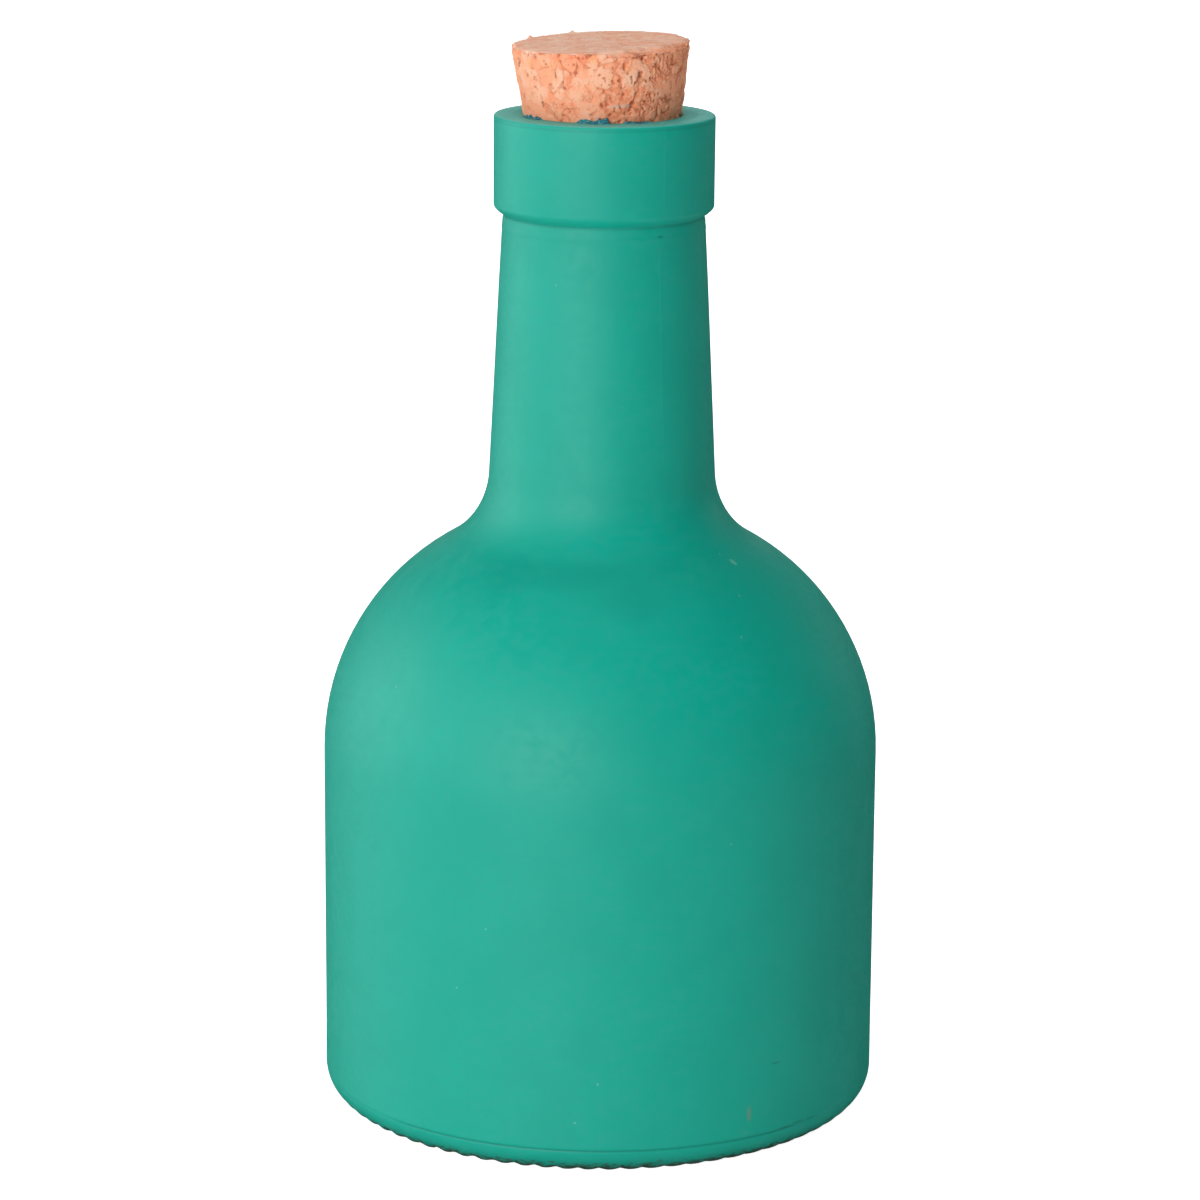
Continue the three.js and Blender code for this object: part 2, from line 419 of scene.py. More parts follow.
def notch_roof(azimuth, radius):
    """The height of the notches' slanted roofs over each point under the heel, or below 0 between them."""
    pitch = 2 * math.pi / NOTCHES
    nearest = (azimuth + pitch / 2) % pitch - pitch / 2
    highest = np.full(len(azimuth), -1.0)
    for neighbour in (-1, 0, 1):
        turn = nearest - neighbour * pitch
        x = radius * np.sin(turn)
        y = NOTCH_MIDDLE_RADIUS - radius * np.cos(turn)
        along = x * math.sin(NOTCH_SLANT) - y * math.cos(NOTCH_SLANT)
        across = x * math.cos(NOTCH_SLANT) + y * math.sin(NOTCH_SLANT)
        before = (NOTCH_ROOF[0] - across) / (NOTCH_ROOF[0] + NOTCH_WIDTH / 2)
        after = (across - NOTCH_ROOF[1]) / (NOTCH_WIDTH / 2 - NOTCH_ROOF[1])
        drop = NOTCH_DEPTH * np.clip(np.maximum(before, after), 0, None)
        roof = (along + NOTCH_HALF_RUN) * math.tan(NOTCH_RISE) - drop / math.cos(NOTCH_RISE)
        inside = (np.abs(across) <= NOTCH_WIDTH / 2) & (np.abs(along) <= NOTCH_HALF_RUN)
        highest = np.maximum(highest, np.where(inside, roof, -1))
    return highest


def seam_relief(azimuth, radius, height):
    """The mould seam, from the heel to the lip, fainter on the body."""
    from_seam = (azimuth - SEAM_AZIMUTH + math.pi / 2) % math.pi - math.pi / 2
    on_neck = smooth(height, SEAM_NECK_START, SEAM_NECK_FULL) * (height < LIP_HEIGHT - LIP_ROUNDING)
    on_body = SEAM_BODY_SHARE * (height > HEEL_RADIUS) * (height < SEAM_NECK_START)
    return SEAM_HEIGHT * (on_neck + on_body) * ridge(from_seam * radius, SEAM_WIDTH)


def heel_line_relief(azimuth, radius, height):
    """The fine groove round the heel, deepest at the front and the back."""
    from_front = np.abs((azimuth + math.pi / 2) % math.pi - math.pi / 2)
    near_front = smooth(from_front, HEEL_LINE_SPAN, 0.7 * HEEL_LINE_SPAN)
    share = HEEL_LINE_FAINT_SHARE + (1 - HEEL_LINE_FAINT_SHARE) * near_front
    groove = HEEL_LINE_DEPTH * share * ridge(height - HEEL_LINE_HEIGHT, HEEL_LINE_WIDTH)
    return -groove * (radius > RING_INNER_RADIUS)


def dent_relief(azimuth, radius, height):
    """The dents above the notches, in step with them, slanted like them and uneven in depth."""
    across = math.tan(NOTCH_SLANT) * (radius - NOTCH_MIDDLE_RADIUS)
    in_step = np.cos(NOTCHES / 2 * (azimuth - across / np.maximum(radius, 1))) ** 2
    uneven = 0.3 + 1.2 * noise(placed(azimuth, radius, height), DENT_NOISE_SIZE, seed=12)
    low = smooth(height, DENT_TOP, DENT_FULL_HEIGHT) * (radius > NOTCH_MIDDLE_RADIUS)
    return -DENT_DEPTH * in_step * uneven * low


def mould_traces(azimuth, radius, height):
    """How far the surface stands out along its normal: seams, rings, waviness and the dents in the heel."""
    on_outer_wall = radius > MOUTH_RADIUS + MOUTH_ROUNDING
    parting = PARTING_RIDGE * ridge(height - PARTING_HEIGHT, PARTING_WIDTH)
    collar_line = -COLLAR_LINE_DEPTH * ridge(height - COLLAR_FOOT_HEIGHT, COLLAR_LINE_WIDTH)
    inwards_waves = WAVINESS * (noise(placed(azimuth, radius, height), WAVE_SIZE, seed=11) - 1)
    on_wall = (parting + collar_line + inwards_waves * (height > HEEL_RADIUS)) * on_outer_wall
    lines = seam_relief(azimuth, radius, height) + heel_line_relief(azimuth, radius, height)
    return lines + on_wall + dent_relief(azimuth, radius, height)


def make_bottle():
    """The coated glass, closed over the bore's floor, with notches under the heel and the mould's traces."""
    profile = bottle_profile()
    azimuth, radius, height = revolved(profile, BOTTLE_SEGMENTS)
    normals = np.repeat(profile_normals(profile), BOTTLE_SEGMENTS, axis=0)
    out = mould_traces(azimuth, radius, height)
    under_heel = height < HEEL_RADIUS / 2
    roof = notch_roof(azimuth, radius)
    lifted = np.where(under_heel & (radius >= NOTCH_INNER_RADIUS), np.maximum(height, roof), height)
    vertices = placed(azimuth, radius + out * normals[:, 0], lifted + out * normals[:, 1])
    first_pole = (0, 0, PUSH_UP)
    last_pole = (0, 0, BORE_FLOOR_HEIGHT)
    return capped("bottle_finish", vertices, len(profile), BOTTLE_SEGMENTS, first_pole, last_pole)


# Cork

def cork_profile():
    """The outline of the cork's plain cone from bottom to top, without the two ends on the axis."""
    heights = np.concatenate([
        np.linspace(-CORK_IN_BORE, CORK_SEEN_FROM, 10)[:-1],
        np.linspace(CORK_SEEN_FROM, CORK_ABOVE_LIP, CORK_SIDE_ROWS),
    ])
    share = (heights + CORK_IN_BORE) / (CORK_ABOVE_LIP + CORK_IN_BORE)
    radii = CORK_BOTTOM_RADIUS + (CORK_TOP_RADIUS - CORK_BOTTOM_RADIUS) * share
    side = np.column_stack([radii, heights])
    from_edge = np.linspace(0, 0.985, CORK_TOP_ROWS)[1:] ** 1.3  # closer together near the edge
    top_radii = CORK_TOP_RADIUS * (1 - from_edge)
    top = np.column_stack([top_radii, np.full(len(top_radii), CORK_ABOVE_LIP)])
    bottom = np.column_stack([CORK_BOTTOM_RADIUS * np.array([0.4, 0.9]), np.full(2, -CORK_IN_BORE)])
    return np.vstack([bottom, side, top])


def cork_relief(points, on_right):
    """How deep each point of the cork's side lies under its plain cone, and the shares that colour it."""
    bent = points + 1.6 * scatter(points, 2.2, seeds=(24, 25, 26))
    bent += 0.8 * scatter(points, 0.8, seeds=(21, 22, 23))
    border, tone, face = granules(bent, GRANULE, seed=31)
    crumb_border, crumb_tone, crumb_face = granules(bent * CRUMB_STRETCH, CRUMB, seed=47)
    crumbly = smooth(noise(points, 2.0, seed=71) + 0.34 * on_right, 0.46, 0.74)
    cracked = smooth(noise(points, 0.9, seed=72) + 0.1 * on_right, 0.36, 0.6)
    crack = (1 - smooth(border, 0.02, 0.13)) * cracked
    crumb_gap = (1 - smooth(crumb_border, 0.02, 0.26)) * crumbly * (0.35 + 0.65 * cracked)
    pit = smooth(noise(points * PIT_STRETCH, PIT, seed=61) * (0.6 + 0.4 * cracked), 0.68, 0.8)
    depth = GRANULE_STEP * tone + GRANULE_TILT * (face + 0.5) + CRACK_DEPTH * crack
    depth += crumbly * (CRUMB_STEP * crumb_tone + CRUMB_TILT * crumb_face)
    depth += CRUMB_GAP_DEPTH * crumb_gap + PIT_DEPTH * pit
    colours = {
        "granule": tone,
        "crumb": crumb_tone,
        "crumbly": crumbly,
        "crack": np.maximum(crack, 0.55 * crumb_gap),
        "pit": pit,
    }
    return np.maximum(depth, 0), colours


def edge_wear(radius, height, on_right, ragged):
    """How far the cork's top edge has crumbled away at each point, and how near the edge that is."""
    worn = smooth(ragged, 0.4, 0.75)
    from_edge = np.hypot(CORK_TOP_RADIUS - radius, CORK_ABOVE_LIP - height)
    near_edge = 1 - smooth(from_edge, 0, EDGE_WIDTH)
    near_corner = (1 - smooth(from_edge, 0, CORNER_WIDTH)) * smooth(on_right, 0.6, 0.97)
    broken = CORNER_CRUMBLE * (0.35 + 0.65 * worn) * near_corner
    return (EDGE_ROUNDING + EDGE_CRUMBLE * worn) * near_edge + broken, near_edge


def front_right_chip(points, radius, on_right, ragged):
    """How deep the cork's top edge is chipped at the front right, and how much of the top is worn there."""
    in_front = -points[:, 1] / CORK_TOP_RADIUS
    at_front_right = smooth(on_right, -0.15, 0.35) * smooth(in_front, 0.05, 0.5)
    width = 0.3 + CHIP_WIDTH * at_front_right * (0.3 + 1.1 * noise(points, 1.4, seed=83))
    chipped = 1 - smooth(CORK_TOP_RADIUS - radius, 0.3 * width, width)
    return CHIP_DEPTH * at_front_right * chipped * (1 - 0.4 * ragged), chipped


def top_relief(points, crack, pit):
    """How deep the cork's sawn top lies under its plane."""
    saw_marks = noise(points * SAW_MARK_STRETCH, 0.8, seed=91)
    patches = noise(points * TOP_PATCH_STRETCH, 1.6, seed=92)
    return TOP_RELIEF * (0.5 * saw_marks + 0.6 * patches + 0.4 * crack) - TOP_RISE + 0.5 * PIT_DEPTH * pit


def loose_crumbs(points):
    """How far the crumbs on the cork's top edge stand up."""
    rise = np.zeros(len(points))
    for degrees, height in LOOSE_CRUMBS:
        turn = math.radians(degrees)
        middle = (CORK_TOP_RADIUS - LOOSE_CRUMB_INSET) * np.array([math.sin(turn), -math.cos(turn)])
        away = np.linalg.norm(points[:, :2] - middle, axis=1)
        rise += (height + EDGE_ROUNDING) * ridge(away, LOOSE_CRUMB_WIDTH)
    return rise


def make_cork():
    """The cork, worn and leaning as it stands in the mouth. Its vertices carry the shares that colour it."""
    profile = cork_profile()
    azimuth, radius, height = revolved(profile, CORK_SEGMENTS)
    points = placed(azimuth, radius, height)
    hair = 0.001
    on_top = (height > CORK_ABOVE_LIP - hair) & (radius < CORK_TOP_RADIUS - hair)
    on_side = ~on_top & (height > -CORK_IN_BORE + hair)
    on_right = points[:, 0] / CORK_TOP_RADIUS
    ragged = noise(points, 0.8, seed=81) * 0.6 + noise(points, 0.35, seed=82) * 0.4

    depth, colours = cork_relief(points, on_right)
    crumble, near_edge = edge_wear(radius, height, on_right, ragged)
    chip, chipped = front_right_chip(points, radius, on_right, ragged)
    top_depth = top_relief(points, colours["crack"], colours["pit"]) + crumble + chip - loose_crumbs(points)
    inwards = np.where(on_side, depth + crumble, 0.5 * crumble)
    down = np.where(on_top, top_depth, np.where(on_side, (0.8 * crumble + chip) * near_edge, 0))
    vertices = placed(azimuth, np.maximum(radius - inwards, 0.05), height - down)

    colours["top"] = on_top * (1 - chipped)
    # The middle of the bottom has none of the marks, and the middle of the top is like the ring round it
    colours = {label: np.append(values, [0, values[-1]]) for label, values in colours.items()}
    first_pole = (0, 0, -CORK_IN_BORE)
    last_pole = (0, 0, CORK_ABOVE_LIP - TOP_RELIEF / 2)
    cork = capped("cork_finish", vertices, len(profile), CORK_SEGMENTS, first_pole, last_pole, colours)
    lean = Matrix.Rotation(CORK_LEAN_FRONT, 4, "X") @ Matrix.Rotation(-CORK_LEAN_LEFT, 4, "Y")
    cork.matrix_world = Matrix.Translation(Vector((CORK_SHIFT, 0, LIP_HEIGHT)) * MM) @ lean
    return cork


# Torn coating

def torn_share(azimuth):
    """How far the coating stands up at each azimuth, from 0 where it isn't torn."""
    torn = np.zeros(len(azimuth))
    for middle, half_width, rise in TEARS:
        away = np.abs((np.degrees(azimuth) - middle + 180) % 360 - 180)
        torn = np.maximum(torn, rise * smooth(away, half_width, 0.7 * half_width))
    return torn


def make_torn_coating():
    """A film of coating drawn over the mouth's rounding to the cork, bunched up and ragged where it tore."""
    section = np.array(TEAR_SECTION)
    azimuth, radius, height = revolved(section, TEAR_SEGMENTS)
    bunched_up = np.repeat(section[:, 2], TEAR_SEGMENTS)
    raggedness = np.repeat(section[:, 3], TEAR_SEGMENTS)
    torn = torn_share(azimuth)
    around = placed(azimuth, np.full(len(azimuth), MOUTH_RADIUS), 0 * height)
    crest = noise(around, 0.9, seed=101) * 0.4 + noise(around, 0.35, seed=102) * 0.6
    lifted = torn * (bunched_up + TEAR_CREST * raggedness * (crest - 0.5))
    crumple = noise(placed(azimuth, radius, height), 0.42, seed=104) - 0.5
    crumple = TEAR_ROUGHNESS * torn * raggedness * crumple
    heights = LIP_HEIGHT + height + np.maximum(lifted, -0.1) + 0.7 * crumple
    vertices = placed(azimuth, radius + crumple, heights)
    faces = [face[::-1] for face in band_faces(len(section), TEAR_SEGMENTS, closed=True)]
    return mesh_object("torn_coating", vertices, faces, {"torn": torn * raggedness})


# Materials

class Nodes:
    """Short ways to make the nodes of one material."""

    def __init__(self, name):
        self.material = bpy.data.materials.new(name)
        self.material.use_nodes = True
        self.tree = self.material.node_tree
        self.shader = self.tree.nodes["Principled BSDF"]

    def add(self, kind, inputs=None, **settings):
        """A new node of that kind, with its inputs linked or set."""
        made = self.tree.nodes.new(kind)
        for key, value in settings.items():
            setattr(made, key, value)
        for key, value in (inputs or {}).items():
            self.set(made.inputs[key], value)
        return made

    def set(self, socket, value):
        """Links the socket to another, or gives it a fixed value."""
        if isinstance(value, bpy.types.NodeSocket):
            self.tree.links.new(value, socket)
        else:
            socket.default_value = value

    def math(self, operation, *values):
        """The result of a sum, a product or the like."""
        made = self.add("ShaderNodeMath", operation=operation)
        for socket, value in zip(made.inputs, values):
            self.set(socket, value)
        return made.outputs[0]

    def weighted(self, *parts, offset=0.0):
        """The offset plus each part's value times its weight."""
        total = offset
        for value, weight in parts:
            total = self.math("MULTIPLY_ADD", value, weight, total)
        return total

    def away_from(self, value, middle):
        """How far the value is from the middle, to either side."""
        return self.math("ABSOLUTE", self.math("SUBTRACT", value, middle))

    def fade(self, value, start, end):
        """Goes smoothly from 0 where value is at start to 1 where it is at end."""
        inputs = {"Value": value, "From Min": start, "From Max": end}
        made = self.add("ShaderNodeMapRange", inputs, interpolation_type="SMOOTHSTEP")
        return made.outputs["Result"]

    def mix(self, share, first, second):
        """Goes from the first colour to the second."""
        made = self.add("ShaderNodeMix", {"Factor": share}, data_type="RGBA")
        first_socket, second_socket = [socket for socket in made.inputs if socket.type == "RGBA"]
        self.set(first_socket, first)
        self.set(second_socket, second)
        return [socket for socket in made.outputs if socket.type == "RGBA"][0]

    def layer(self, tint, over, mask, strength):
        """Lays a colour over the tint where the mask is 1. The strength says how much of it covers."""
        return self.mix(self.math("MULTIPLY", mask, strength), tint, over)

    def blend(self, share, first, second):
        """Goes from the first number to the second."""
        return self.add("ShaderNodeMix", {"Factor": share, "A": first, "B": second}).outputs["Result"]

    def noise(self, place, size, detail=2.0, stretch=None):
        """Noise from 0 to 1 with features of that size, in the units of place."""
        if stretch:
            scaled = self.add("ShaderNodeVectorMath", operation="MULTIPLY")
            self.set(scaled.inputs[0], place)
            scaled.inputs[1].default_value = stretch
            place = scaled.outputs[0]
        inputs = {"Vector": place, "Scale": 1 / size, "Detail": detail}
        return self.add("ShaderNodeTexNoise", inputs).outputs[0]

    def finish(self, tint, roughness, gloss):
        """Sets the surface's colour, and its roughness and the strength of its gloss."""
        self.set(self.shader.inputs["Base Color"], tint)
        self.set(self.shader.inputs["Roughness"], roughness)
        self.set(self.shader.inputs["Specular IOR Level"], gloss)

    def bump(self, height, strength, depth):
        """Lets the light fall as on a relief of that depth in millimetres."""
        inputs = {"Height": height, "Strength": strength, "Distance": depth * MM}
        normal = self.add("ShaderNodeBump", inputs).outputs["Normal"]
        self.set(self.shader.inputs["Normal"], normal)

    def attribute(self, name):
        """A number that the mesh carries at each vertex."""
        return self.add("ShaderNodeAttribute", attribute_name=name).outputs["Fac"]

    def place(self):
        """The place on the object in millimetres."""
        scaled = self.add("ShaderNodeVectorMath", operation="SCALE")
        self.set(scaled.inputs[0], self.add("ShaderNodeTexCoord").outputs["Object"])
        scaled.inputs["Scale"].default_value = 1 / MM
        return scaled.outputs[0]


def colour(red, green, blue):
    """An opaque colour in linear light."""
    return (red, green, blue, 1)


WHITE = colour(1, 1, 1)
FLOOR_WHITE = colour(0.9, 0.9, 0.9)

TEAL = colour(0.0, 0.4, 0.297)
GREYER_TEAL = colour(0.012, 0.394, 0.3)
DEEPER_TEAL = colour(0.0, 0.374, 0.276)
# Painted shade: the dark reflection that the satin coating shows on the shoulder
SHOULDER_SHADE_TEAL = colour(0.0, 0.345, 0.262)
# Painted shade: the band under the heel line faces down, away from the light, and is painted darker
HEEL_SHADE_TEAL = colour(0.0, 0.27, 0.195)
HEEL_DIRT = colour(0.05, 0.07, 0.05)
PALE_TEAL = colour(0.09, 0.45, 0.36)
# Painted highlight: the lip's top is painted paler and greyer for the gloss that it catches from above
LIT_LIP_TEAL = colour(0.08, 0.49, 0.43)
# Painted shade in the grooves under the collar, below the lip and round the heel, and the colour of the dark
# marks
SHADE_AND_MARK_TEAL = colour(0.0, 0.2, 0.15)
RUB_BROWN = colour(0.3, 0.2, 0.1)
SPECK = colour(0.25, 0.62, 0.5)
TORN_BLUE = colour(0.01, 0.28, 0.34)
DARK_TORN_BLUE = colour(0.0, 0.15, 0.23)
# Painted glints on the torn coating
TORN_GLINT_BLUE = colour(0.14, 0.5, 0.56)

PALE_CORK = colour(1.0, 0.57, 0.385)
CORK = colour(1.0, 0.46, 0.28)
DARK_CORK = colour(1.0, 0.33, 0.17)
YELLOW_CORK = colour(1.0, 0.47, 0.21)
RED_CORK = colour(1.0, 0.33, 0.19)
CRACK_BROWN = colour(0.72, 0.2, 0.085)
PIT_BROWN = colour(0.36, 0.09, 0.04)
PALE_TOP = colour(1.0, 0.66, 0.51)
DARK_TOP = colour(0.96, 0.49, 0.33)
TOP_DASH = colour(0.75, 0.28, 0.15)
SLIVER = colour(0.78, 0.56, 0.47)
WARM_SHEEN = colour(1.0, 0.8, 0.62)

# Marks and painted shade on the coating: azimuth in degrees, height over the table, half width and half
# height
LIGHT_SPECKS = [
    (54.5, 78.0, 0.45, 0.32),
    (52.0, 79.0, 0.12, 0.12),
    (44.5, 74.8, 0.14, 0.14),
    (37.5, 70.5, 0.14, 0.14),
    (-26.5, 115.2, 0.12, 0.12),
    (-50.5, 63.0, 0.13, 0.13),
    (27.0, 45.0, 0.12, 0.12),
    (-23.0, 33.5, 0.12, 0.14),
    (-29.5, 24.8, 0.13, 0.13),
    (0.0, 13.2, 0.13, 0.2),
    (-4.5, 7.8, 0.16, 0.16),
]
# A dark scratch, a dark spot on the parting ring, and painted shade that carries the heel groove's dark line
# on at the right
DARK_MARKS_AND_GROOVE_SHADE = [
    (38.5, 13.5, 0.75, 0.12),
    (33.0, 121.55, 0.45, 0.17),
    (41.5, 4.0, 1.3, 0.16),
    (45.0, 4.2, 1.1, 0.13),
    (49.0, 4.1, 0.9, 0.12),
]
RUB_MARKS = [(32.0, 7.2, 0.36, 1.0), (31.5, 4.6, 0.14, 0.14)]
# Painted shade: dark patches on the shoulder that stand in for the coating's dark reflection there
SHOULDER_SHADES = [(-10.0, 77.9, 6, 1.5), (-31.0, 77.7, 4.5, 1.8), (9.0, 75.2, 4, 1.9)]

# The same for the cork's side, with the height over the lip
PALE_GRANULES = [
    (-4, 7.9, 1.2, 0.9),
    (-46, 4.3, 1.2, 1.3),
    (-14, 6.0, 1.5, 0.5),
    (-8, 1.3, 1.2, 0.5),
    (-38, 1.6, 0.9, 0.8),
]
CORK_HOLLOWS = [
    (24, 8.6, 0.7, 0.4),
    (25, 6.2, 0.3, 0.9),
    (-15.5, 8.1, 0.16, 0.45),
    (-31, 6.9, 0.16, 0.6),
    (-46, 2.5, 0.2, 0.5),
    (13, 4.9, 0.16, 0.25),
    (52, 2.6, 0.9, 0.5),
    (-68, 7.6, 0.3, 0.4),
]
PALE_SLIVER = [(12, 2.4, 1.7, 0.22)]


def around_axis(nodes, place):
    """The azimuth, radius and height of each place."""
    x, y, height = nodes.add("ShaderNodeSeparateXYZ", {"Vector": place}).outputs
    azimuth = nodes.math("ARCTAN2", x, nodes.math("MULTIPLY", y, -1))
    squares = nodes.math("ADD", nodes.math("POWER", x, 2), nodes.math("POWER", y, 2))
    return azimuth, nodes.math("SQRT", squares), height


def spots(nodes, around, places, softness):
    """A mask that is 1 on the given places of the surface, and fades at their edges."""
    azimuth, radius, height = around
    total = 0.0
    for degrees, middle, half_width, half_height in places:
        turned = nodes.math("SUBTRACT", azimuth, math.radians(degrees))
        across = nodes.math("DIVIDE", nodes.math("MULTIPLY", turned, radius), half_width)
        up = nodes.math("DIVIDE", nodes.math("SUBTRACT", height, middle), half_height)
        squares = nodes.math("ADD", nodes.math("POWER", across, 2), nodes.math("POWER", up, 2))
        total = nodes.math("MAXIMUM", total, nodes.fade(squares, 1 + softness, 1 - softness))
    return total


def clouded_teal(nodes, place, flecked):
    """The coating's own colour, with faint flecks, clouds and streaks."""
    cloudy = nodes.fade(nodes.noise(place, 9, detail=4), 0.42, 0.62)
    streaks = nodes.fade(nodes.noise(place, 2.2, stretch=(1, 1, 0.06)), 0.5, 0.75)
    tint = nodes.layer(TEAL, GREYER_TEAL, flecked, strength=0.55)
    tint = nodes.layer(tint, DEEPER_TEAL, cloudy, strength=0.45)
    return nodes.layer(tint, DEEPER_TEAL, streaks, strength=0.22)


def seam_mask(nodes, around):
    """A mask that is 1 along the seam at the front right, on the neck and the collar."""
    azimuth, radius, height = around
    turned = nodes.math("SUBTRACT", azimuth, SEAM_AZIMUTH)
    from_seam = nodes.math("ABSOLUTE", nodes.math("MULTIPLY", turned, radius))
    return nodes.math("MULTIPLY", nodes.fade(from_seam, 0.2, 0.06), nodes.fade(height, 86, SEAM_NECK_FULL))


def heel_groove_shade_mask(nodes, around):
    """Painted shade in the groove round the heel: a mask that is 1 there, near the front and the back."""
    azimuth, _, height = around
    aside = nodes.math("ABSOLUTE", nodes.math("SINE", azimuth))
    in_groove = nodes.fade(nodes.away_from(height, HEEL_LINE_HEIGHT), 0.24, 0.05)
    return nodes.math("MULTIPLY", in_groove, nodes.fade(aside, 0.79, 0.63))


def collar_and_lip_shade_mask(nodes, around):
    """Painted shade: how dark the coating is painted in the corner under the collar, and just below the lip,
    where shade falls.
    """
    _, radius, height = around
    on_wall = nodes.fade(radius, MOUTH_RADIUS + MOUTH_ROUNDING + 0.3, NECK_TOP_RADIUS)
    under_collar = nodes.fade(nodes.away_from(height, COLLAR_FOOT_HEIGHT), 0.34, 0.05)
    under_lip = nodes.fade(nodes.away_from(height, LIP_HEIGHT - 0.55), 0.3, 0.05)
    collar_shade = nodes.math("MULTIPLY", under_collar, 0.5)
    lip_shade = nodes.math("MULTIPLY", under_lip, 0.25)
    return nodes.math("MULTIPLY", nodes.math("MAXIMUM", collar_shade, lip_shade), on_wall)


def grime_mask(nodes, place, height):
    """Patches of dirt in and between the notches."""
    low = nodes.fade(height, 2.8, 0.4)
    grime = nodes.weighted((low, 0.4), offset=nodes.noise(place, 0.8, detail=3, stretch=(1, 1, 2.2)))
    return nodes.math("MULTIPLY", nodes.fade(grime, 0.62, 0.84), nodes.fade(low, 0, 0.2))


def coating_material():
    """The matte teal coating, with its clouds, marks and dirt, and painted shade and a painted highlight."""
    nodes = Nodes("coating")
    place = nodes.place()
    around = around_axis(nodes, place)
    height = around[2]
    flecked = nodes.fade(nodes.noise(place, 1.6, detail=3, stretch=(1, 1, 1.6)), 0.4, 0.65)
    heel_shade = nodes.fade(height, HEEL_LINE_HEIGHT, HEEL_LINE_HEIGHT - 2.8)
    lip_top_highlight = nodes.fade(height, LIP_HEIGHT - 0.2, LIP_HEIGHT - 0.02)

    tint = clouded_teal(nodes, place, flecked)
    # Painted shade on the shoulder, where the satin coating shows a dark reflection
    tint = nodes.layer(tint, SHOULDER_SHADE_TEAL, spots(nodes, around, SHOULDER_SHADES, softness=0.95), strength=0.55)
    tint = nodes.layer(tint, PALE_TEAL, seam_mask(nodes, around), strength=0.05)
    # Painted shade on the heel band, which faces down towards the floor
    tint = nodes.layer(tint, HEEL_SHADE_TEAL, heel_shade, strength=0.75)
    # Painted shade in the corner under the collar and just below the lip
    tint = nodes.mix(collar_and_lip_shade_mask(nodes, around), tint, SHADE_AND_MARK_TEAL)
    # Painted shade along the groove round the heel
    tint = nodes.layer(tint, SHADE_AND_MARK_TEAL, heel_groove_shade_mask(nodes, around), strength=0.55)
    tint = nodes.layer(tint, HEEL_DIRT, grime_mask(nodes, place, height), strength=0.85)
    # Painted highlight on the lip's top
    tint = nodes.layer(tint, LIT_LIP_TEAL, lip_top_highlight, strength=0.9)
    tint = nodes.layer(tint, SPECK, spots(nodes, around, LIGHT_SPECKS, softness=0.5), strength=0.4)
    # Dark marks, and painted shade along the heel groove at the right
    tint = nodes.layer(tint, SHADE_AND_MARK_TEAL, spots(nodes, around, DARK_MARKS_AND_GROOVE_SHADE, softness=0.6), strength=0.65)
    tint = nodes.layer(tint, RUB_BROWN, spots(nodes, around, RUB_MARKS, softness=0.95), strength=0.32)

    roughness = nodes.weighted((flecked, 0.1), offset=0.5)
    nodes.finish(tint, roughness, gloss=0.35)
    grain = nodes.weighted((nodes.noise(place, 2.5), 2), offset=nodes.noise(place, 0.35))
    nodes.bump(grain, strength=0.25, depth=0.02)
    return nodes.material


def torn_material():
    """The film over the mouth: as the lip, with its painted highlight, where it is whole, and blue and
    crumbly with painted glints where it tore.
    """
    nodes = Nodes("torn_coating")
    place = nodes.place()
    patches = nodes.fade(nodes.noise(place, 0.7, detail=3), 0.38, 0.6)
    # Painted glints: this mask lays pale blue specks of light over the torn coating
    crumbs = nodes.fade(nodes.noise(place, 0.35), 0.5, 0.62)
    blue = nodes.mix(patches, DARK_TORN_BLUE, TORN_BLUE)
    blue = nodes.layer(blue, TORN_GLINT_BLUE, crumbs, strength=0.8)
    where_torn = nodes.fade(nodes.attribute("torn"), 0.02, 0.3)
    nodes.finish(nodes.mix(where_torn, LIT_LIP_TEAL, blue), roughness=0.6, gloss=0.3)
    return nodes.material


def granule_tint(nodes, grain, fine, patchy):
    """The cork's colour: whole granules in shades of their own, and crumbs that are more mixed."""
    granule_tone = nodes.weighted((grain["granule"], 0.6), (patchy, 0.7), offset=-0.25)
    crumb_tone = nodes.weighted((grain["crumb"], 0.6), offset=0.28)
    tone = nodes.blend(grain["crumbly"], granule_tone, crumb_tone)
    tone = nodes.weighted((nodes.math("SUBTRACT", fine, 0.5), 0.55), offset=tone)
    ramp = nodes.add("ShaderNodeValToRGB", {"Fac": tone})
    stops = ramp.color_ramp.elements
    stops[0].position = 0.0
    stops[0].color = PALE_CORK
    stops[1].position = 0.9
    stops[1].color = DARK_CORK
    middle = stops.new(0.42)
    middle.color = CORK
    return ramp.outputs["Color"]


